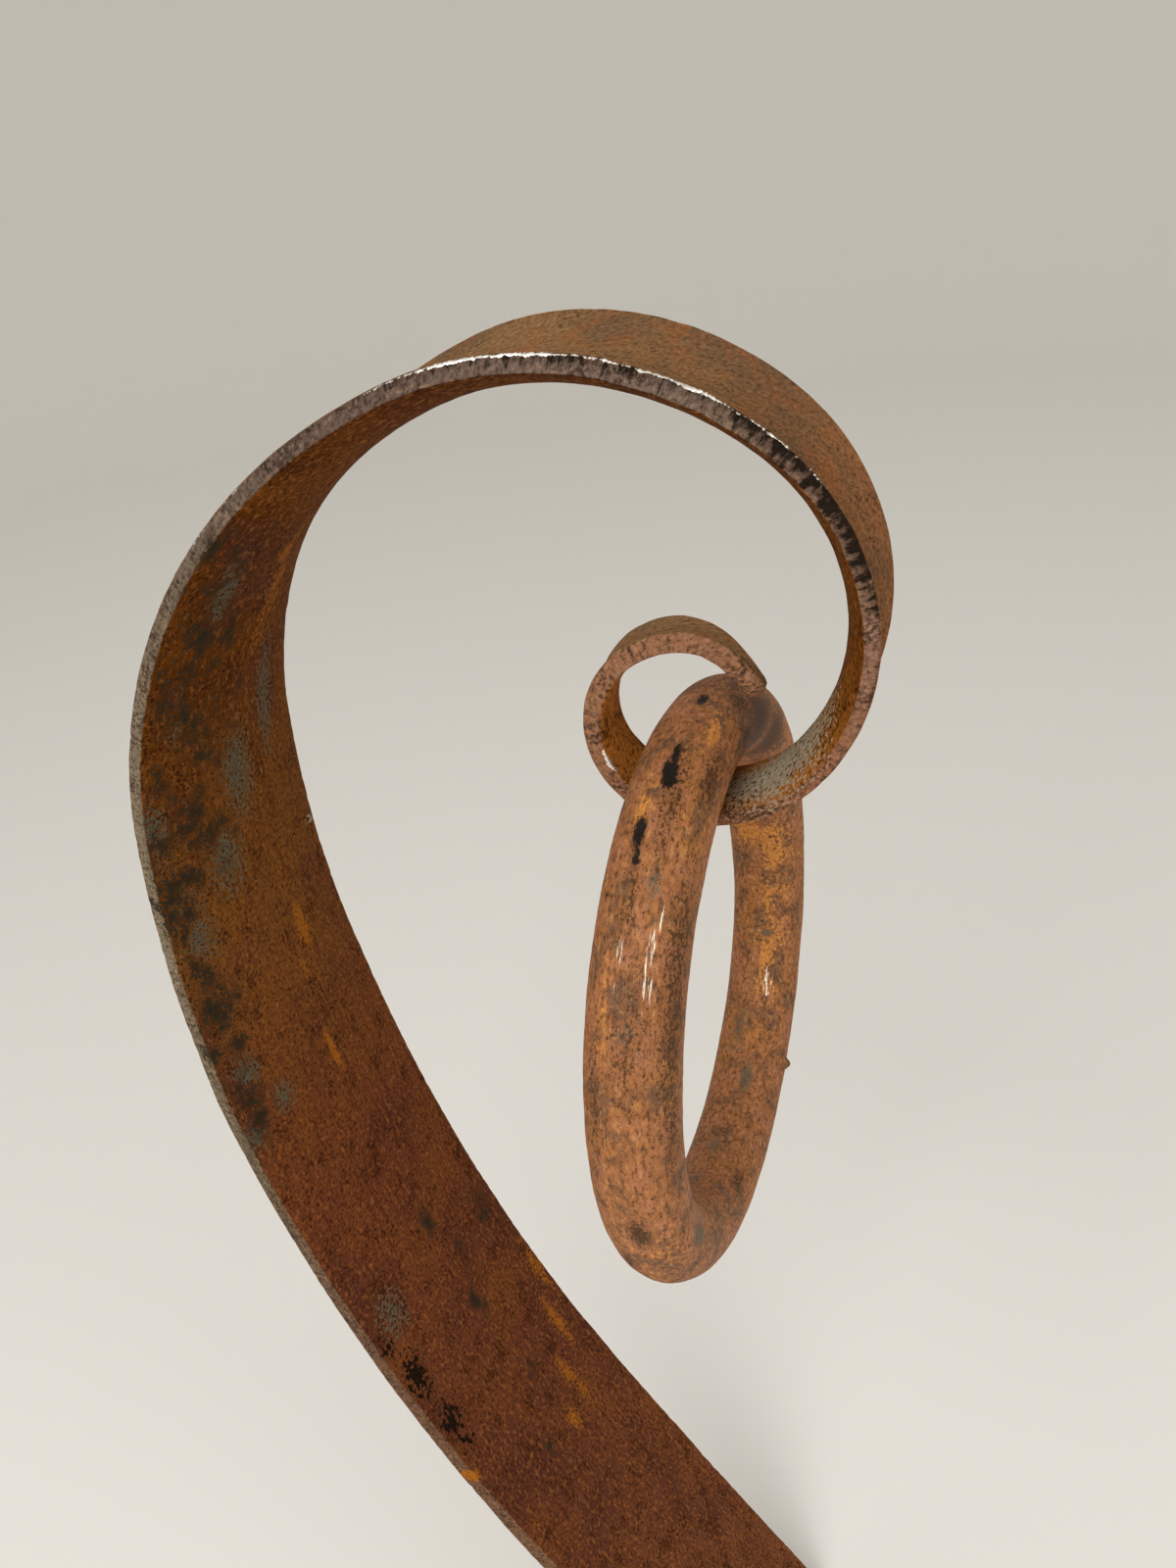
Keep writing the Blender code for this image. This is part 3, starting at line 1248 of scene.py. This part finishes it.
@dataclass(frozen=True)
class RingSkin(Skin):
    """The hanging ring: round bar with a lumpy, pitted surface and a swollen weld, in mm and degrees."""

    name: str = "ring_skin"
    node: str = "ring"
    slot: str = "rusted_bar"
    finish: Rust = BarRust()

    # Bar, and fineness of the mesh
    bar: float = 19.0
    hole: float = 100.0
    bar_steps: int = 120
    ring_steps: int = 560

    # Uneven surface
    lumps: float = 0.26
    lump_size: float = 9.0
    roughen: float = 0.06
    roughen_size: float = 1.8
    pit: float = 0.4

    # Weld: its height, where it is round the ring, how far it reaches, and its side of the bar
    weld_swell: float = 1.7
    weld_around: float = 68.0
    weld_reach: float = 30.0
    weld_side: float = 110.0

    # What the photograph shows on the ring
    beads: tuple[Bead, ...] = (Bead((801, 1085), 1.5, 1.3),)
    marks: tuple[Mark, ...] = (
        Mark(Stain.CRUST, (716, 713), 2.6, 1.4),
        Mark(Stain.CRUST, (692, 765), 3.2, 1.2, 0.9),
        Mark(Stain.CRUST, (684, 790), 3.4, 1.7, 1.1),
        Mark(Stain.CRUST, (651, 852), 3.4, 1.4),
        Mark(Stain.CRUST, (648, 870), 3.4, 1.1, 0.8),
        Mark(Stain.SOOT_AND_SHADE, (688, 815), 12.0, 2.0, 0.6),
        Mark(Stain.SOOT_AND_SHADE, (727, 794), 8.0, 2.5, 0.7),
        Mark(Stain.SOOT_AND_SHADE, (762, 751), 5.0, 2.0, 0.8),
        Mark(Stain.SOOT_AND_SHADE, (692, 980), 16.0, 3.4, 0.66),
        Mark(Stain.SOOT_AND_SHADE, (688, 1060), 16.0, 3.4, 0.64),
        Mark(Stain.SOOT_AND_SHADE, (686, 1150), 12.0, 3.0, 0.56),
        Mark(Stain.SOOT_AND_SHADE, (605, 1130), 14.0, 2.4, 0.5),
        Mark(Stain.SOOT_AND_SHADE, (653, 1262), 4.0, 2.0, 0.9),
        Mark(Stain.SOOT_AND_SHADE, (642, 1288), 4.0, 1.6, 0.9),
        Mark(Stain.SOOT_AND_SHADE, (753, 1205), 5.0, 2.0, 0.7),
        Mark(Stain.SCALE, (714, 1259), 6.0, 3.0, 0.65),
        Mark(Stain.SCALE, (781, 951), 1.6, 2.2, 0.9),
        Mark(Stain.SCALE, (758, 1100), 9.0, 3.0, 0.66),
        Mark(Stain.SCALE, (754, 1045), 9.0, 2.8, 0.62),
        Mark(Stain.SCALE, (735, 1165), 12.0, 5.0, 0.5),
        Mark(Stain.SCALE, (705, 1205), 10.0, 4.0, 0.45),
        Mark(Stain.SCALE, (639, 1045), 8.0, 4.0, 0.45),
        Mark(Stain.SCALE, (639, 906), 6.0, 2.0, 0.45),
        Mark(Stain.SCALE, (668, 902), 8.0, 2.0, 0.45),
        Mark(Stain.SOOT_AND_SHADE, (640, 1060), 12.0, 4.0, 0.4),
        # Painted shadow: the back of the ring under the strap's tip and behind the eye, darkened where it
        # lies in shade
        Mark(Stain.SOOT_AND_SHADE, (757, 718), 4.0, 3.0, 0.7),
        Mark(Stain.SOOT_AND_SHADE, (778, 736), 10.0, 8.0, 1.0),
        Mark(Stain.SOOT_AND_SHADE, (788, 752), 10.0, 8.0, 1.0),
        Mark(Stain.SOOT_AND_SHADE, (640, 925), 8.0, 2.0, 0.5),
        Mark(Stain.OCHRE_AND_REFLECTION, (762, 843), 8.0, 6.0, 0.7),
        Mark(Stain.OCHRE_AND_REFLECTION, (792, 860), 10.0, 6.0, 0.7),
        Mark(Stain.OCHRE_AND_REFLECTION, (785, 910), 12.0, 6.0, 0.6),
        Mark(Stain.OCHRE_AND_REFLECTION, (775, 985), 18.0, 7.0, 0.7),
        Mark(Stain.OCHRE_AND_REFLECTION, (680, 1292), 14.0, 7.0, 0.42),
        Mark(Stain.OCHRE_AND_REFLECTION, (731, 743), 6.0, 2.0, 0.8),
        Mark(Stain.OCHRE_AND_REFLECTION, (657, 821), 5.0, 2.0, 0.7),
        Mark(Stain.OCHRE_AND_REFLECTION, (615, 1040), 16.0, 2.0, 0.45),
        # Painted highlights: short pale glints of polished metal where light catches the front and back
        # legs
        Mark(Stain.BARE_AND_HIGHLIGHT, (675, 939), 2.2, 0.35, 0.6),
        Mark(Stain.BARE_AND_HIGHLIGHT, (667, 953), 2.6, 0.45, 0.62),
        Mark(Stain.BARE_AND_HIGHLIGHT, (664, 966), 2.6, 0.45, 0.62),
        Mark(Stain.BARE_AND_HIGHLIGHT, (660, 982), 3.0, 0.35, 0.58),
        Mark(Stain.BARE_AND_HIGHLIGHT, (657, 1015), 4.0, 0.35, 0.58),
        Mark(Stain.BARE_AND_HIGHLIGHT, (663, 1012), 2.4, 0.4, 0.62),
        Mark(Stain.BARE_AND_HIGHLIGHT, (631, 966), 2.6, 0.4, 0.56),
        Mark(Stain.BARE_AND_HIGHLIGHT, (625, 1006), 1.6, 0.4, 0.55),
        Mark(Stain.BARE_AND_HIGHLIGHT, (782, 1000), 4.0, 1.2, 0.42),
    )

    def build(self, camera: PhotoCamera, joint: dict) -> bpy.types.Object:
        """Make the ring's mesh, paint its marks and dress it.

        Args:
            camera: The photograph's camera, which places the marks.
            joint: The ring's joint, on the middle of the bar in the eye.

        Returns:
            The finished piece.
        """
        top = Vector(joint["pos_m"])
        tangent = Vector(joint["axis"]).normalized()
        up = Vector((0.0, 0.0, 1.0))
        facing = up.cross(tangent)
        radius = (self.hole + self.bar) / 2.0 * MM
        centre = top - up * radius
        mesh = self.torus(top, centre, Matrix((facing, up, tangent)).transposed())

        away = read_points(mesh) - np.array(centre)
        around = np.arctan2(away @ np.array(tangent), away @ np.array(up))
        outwards = np.sin(around)[:, None] * np.array(tangent) + np.cos(around)[:, None] * np.array(up)
        girdle = np.arctan2(away @ np.array(facing), np.sum(away * outwards, axis=1) - radius)
        sheet = np.stack((around * radius / MM, girdle * self.bar / 2.0), axis=1)
        values = self.paint_marks(mesh, camera, sheet)
        surface = np.cos(girdle)[:, None] * outwards + np.sin(girdle)[:, None] * np.array(facing)
        sunk = self.sink(away / MM) + self.pit * np.clip(values[Stain.CRUST.value], 0.0, 1.0) ** 2
        from_weld = (around - math.radians(self.weld_around)) / math.radians(self.weld_reach)
        near_weld = np.exp(-(from_weld**2))
        facing_weld = np.clip(np.cos(girdle - math.radians(self.weld_side)), 0.0, 1.0) ** 2
        sunk -= self.weld_swell * near_weld * facing_weld
        moved = np.array(centre) + away - surface * sunk[:, None] * MM
        mesh.vertices.foreach_set("co", moved.astype(np.float32).ravel())
        mesh.update()
        self.raise_beads(mesh, camera)
        self.write_map(mesh, sheet)
        self.write_values(mesh, values)
        mesh.shade_smooth()
        return self.dress(mesh)

    def torus(self, top: Vector, centre: Vector, axes: Matrix) -> bpy.types.Mesh:
        """Spin a circle of bar into a true ring.

        Args:
            top: The middle of the bar in the eye.
            centre: The ring's middle.
            axes: The ring's facing direction, its up and its tangent at the top, as columns.

        Returns:
            The ring's mesh.
        """
        bm = bmesh.new()
        section = bmesh.ops.create_circle(bm, segments=self.bar_steps, radius=self.bar / 2.0 * MM)
        bmesh.ops.transform(bm, matrix=Matrix.Translation(top) @ axes.to_4x4(), verts=section["verts"])
        bmesh.ops.spin(
            bm,
            geom=bm.verts[:] + bm.edges[:],
            cent=centre,
            axis=axes.col[0],
            angle=math.tau,
            steps=self.ring_steps,
            use_merge=True,
        )
        bmesh.ops.remove_doubles(bm, verts=bm.verts, dist=WELD)
        bmesh.ops.recalc_face_normals(bm, faces=bm.faces)
        mesh = bpy.data.meshes.new(self.name)
        bm.to_mesh(mesh)
        bm.free()
        return mesh

    def sink(self, places: np.ndarray) -> np.ndarray:
        """Find how far the bar's surface lies below a true round.

        Args:
            places: Points from the ring's middle, in mm.

        Returns:
            Depths in mm.
        """
        depths = np.zeros(len(places))
        for index, place in enumerate(places):
            lump = wobble(*(place / self.lump_size))
            rough = wobble(*(place / self.roughen_size))
            depths[index] = self.lumps * (1.0 + lump) / 2.0 + self.roughen * rough
        return depths


@dataclass(frozen=True)
class SoftBox:
    """One square studio lamp, in metres and watts."""

    name: str
    place: tuple[float, float, float]
    size: float
    power: float


@dataclass(frozen=True)
class Studio:
    """A pale cove floor and soft light, in metres."""

    paper: str = "#EFECE6"
    paper_roughness: float = 0.95
    flat_radius: float = 2.2
    sweep_radius: float = 1.2
    wall: float = 1.2
    cove_steps: int = 96
    sweep_steps: int = 12
    sky: str = "#F4F2EE"
    sky_strength: float = 0.62
    aim: tuple[float, float, float] = (-0.04, 0.0, 0.36)
    boxes: tuple[SoftBox, ...] = (
        SoftBox("key_box", (-0.25, -1.1, 1.3), 0.9, 14.5),
        SoftBox("fill_box", (1.2, -0.7, 0.9), 1.0, 5.0),
    )

    def build(self) -> None:
        """Make the cove, the lamps and the world."""
        self.cove()
        for box in self.boxes:
            self.lamp(box)
        world = bpy.data.worlds.new("studio_world")
        bpy.context.scene.world = world
        world.use_nodes = True
        background = world.node_tree.nodes["Background"]
        background.inputs["Color"].default_value = linear(self.sky)
        background.inputs["Strength"].default_value = self.sky_strength
        bpy.context.scene.view_settings.view_transform = "Standard"

    def cove(self) -> None:
        """Spin a floor that sweeps up into a round wall, of pale matt paper."""
        bm = bmesh.new()
        middle = bm.verts.new((0.0, 0.0, 0.0))
        rim = bmesh.ops.extrude_vert_indiv(bm, verts=[middle])["verts"]
        bmesh.ops.translate(bm, verts=rim, vec=(self.flat_radius, 0.0, 0.0))
        sweep = bmesh.ops.spin(
            bm,
            geom=rim,
            cent=(self.flat_radius, 0.0, self.sweep_radius),
            axis=(0.0, -1.0, 0.0),
            angle=math.pi / 2.0,
            steps=self.sweep_steps,
        )
        last = [item for item in sweep["geom_last"] if isinstance(item, bmesh.types.BMVert)]
        top = bmesh.ops.extrude_vert_indiv(bm, verts=last)["verts"]
        bmesh.ops.translate(bm, verts=top, vec=(0.0, 0.0, self.wall))
        bmesh.ops.spin(
            bm,
            geom=bm.verts[:] + bm.edges[:],
            cent=(0.0, 0.0, 0.0),
            axis=(0.0, 0.0, 1.0),
            angle=math.tau,
            steps=self.cove_steps,
            use_merge=True,
        )
        bmesh.ops.remove_doubles(bm, verts=bm.verts, dist=WELD)
        bmesh.ops.recalc_face_normals(bm, faces=bm.faces)
        mesh = bpy.data.meshes.new("cove")
        bm.to_mesh(mesh)
        bm.free()
        mesh.shade_smooth()
        paper = bpy.data.materials.new("cove_paper")
        paper.use_nodes = True
        shader = paper.node_tree.nodes["Principled BSDF"]
        shader.inputs["Base Color"].default_value = linear(self.paper)
        shader.inputs["Roughness"].default_value = self.paper_roughness
        mesh.materials.append(paper)
        cove = bpy.data.objects.new("cove", mesh)
        bpy.context.scene.collection.objects.link(cove)

    def lamp(self, box: SoftBox) -> None:
        """Hang one soft box, aimed at the part.

        Args:
            box: The lamp.
        """
        data = bpy.data.lights.new(box.name, "AREA")
        data.size = box.size
        data.energy = box.power
        lamp = bpy.data.objects.new(box.name, data)
        lamp.location = box.place
        lamp.rotation_euler = (Vector(self.aim) - Vector(box.place)).to_track_quat("-Z", "Y").to_euler()
        bpy.context.scene.collection.objects.link(lamp)


def main() -> None:
    """Build the camera, the studio and the two pieces, and note the sizes."""
    logging.basicConfig(level=logging.INFO)
    camera = PhotoCamera()
    camera.build()
    Studio().build()
    strap = StrapSkin().build(camera)
    ring = RingSkin().build(camera, frame["joints"][0])
    for piece in (strap, ring):
        LOG.info("%s has %d faces", piece.name, len(piece.data.polygons))


if __name__ == "__main__":
    main()
